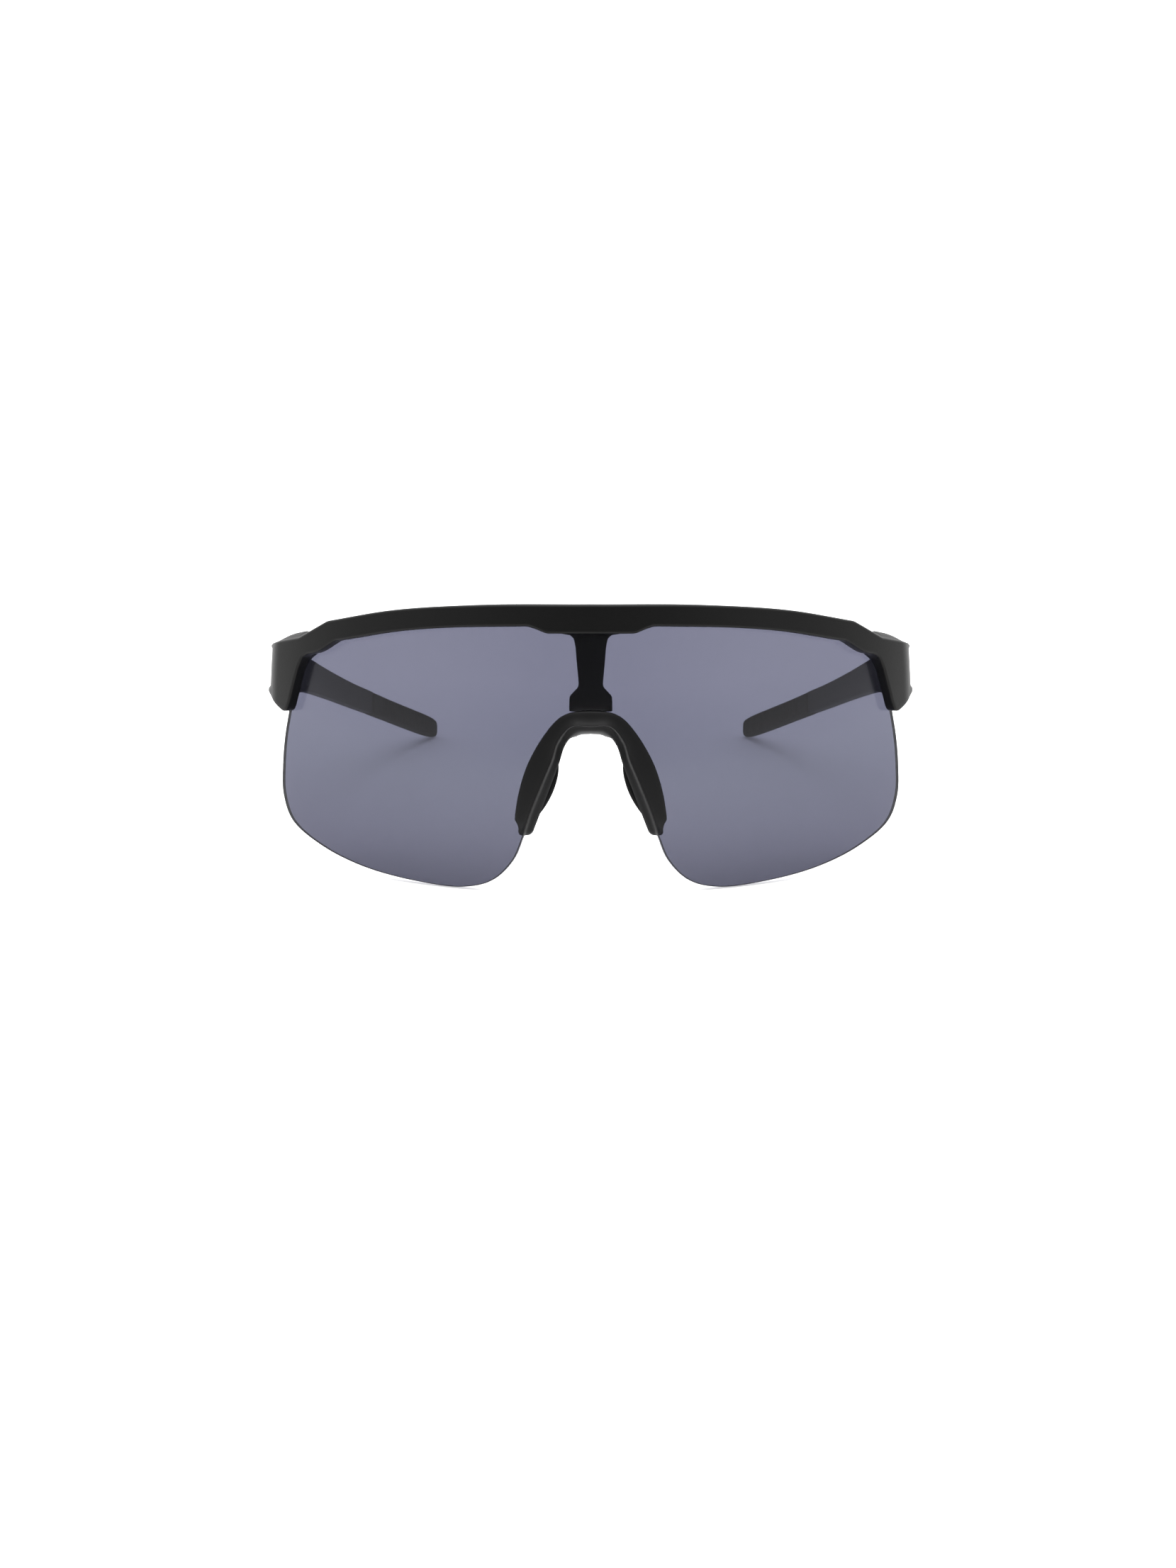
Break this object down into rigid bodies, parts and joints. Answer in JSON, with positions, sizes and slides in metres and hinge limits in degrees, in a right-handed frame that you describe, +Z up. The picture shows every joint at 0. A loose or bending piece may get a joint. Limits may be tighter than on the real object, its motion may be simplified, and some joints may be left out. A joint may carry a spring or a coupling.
{
  "type": "wraparound sport sunglasses",
  "caption": "Half-rim sport sunglasses with a one-piece curved smoke shield lens, a soft nosepiece hung from a central bar, and hinged temples with ribbed rubber grips.",
  "frame": {"origin": "centre of the bounding box in plan, on the surface that the glasses stand on", "axes": "+X towards the wearer's left, +Y from the lens back to the temple tips, +Z up"},
  "size_m": [0.1476, 0.1602, 0.0626],
  "materials": {
    "frame_nylon": "fine matte black moulded nylon",
    "smoke_lens": "neutral smoke tint with a faint violet cast, gloss",
    "nose_rubber": "soft-touch matte black",
    "pad_rubber": "soft matte black",
    "temple_nylon": "fine matte black moulded nylon",
    "grip_rubber": "matte black with cross ribs on the inner face",
    "core_steel": "plain drawn strip",
    "screw_steel": "turned, slotted head",
    "bush_brass": "turned",
    "insert_brass": "turned",
    "washer_nylon": "natural nylon"
  },
  "bodies": {
    "front": {"brow_frame": "frame_nylon", "shield_lens": "smoke_lens", "nose_bridge": "nose_rubber", "nose_pad_left": "pad_rubber", "nose_pad_right": "pad_rubber", "hinge_screw_left": "screw_steel", "hinge_insert_left": "insert_brass", "upper_washer_left": "washer_nylon", "lower_washer_left": "washer_nylon", "hinge_screw_right": "screw_steel", "hinge_insert_right": "insert_brass", "upper_washer_right": "washer_nylon", "lower_washer_right": "washer_nylon"},
    "temple_left": {"temple_arm_left": "temple_nylon", "temple_grip_left": "grip_rubber", "temple_core_left": "core_steel", "hinge_bush_left": "bush_brass"},
    "temple_right": {"temple_arm_right": "temple_nylon", "temple_grip_right": "grip_rubber", "temple_core_right": "core_steel", "hinge_bush_right": "bush_brass"}
  },
  "joints": [
    {"name": "temple_fold_left", "type": "hinge", "parent": "front", "child": "temple_left", "pos_m": [0.0695, -0.03728, 0.04178], "axis": [0, 0.3331, 0.9429], "range_deg": [0, 84.5]},
    {"name": "temple_fold_right", "type": "hinge", "parent": "front", "child": "temple_right", "pos_m": [-0.0695, -0.03728, 0.04178], "axis": [0, -0.3331, -0.9429], "range_deg": [0, 74]}
  ]
}
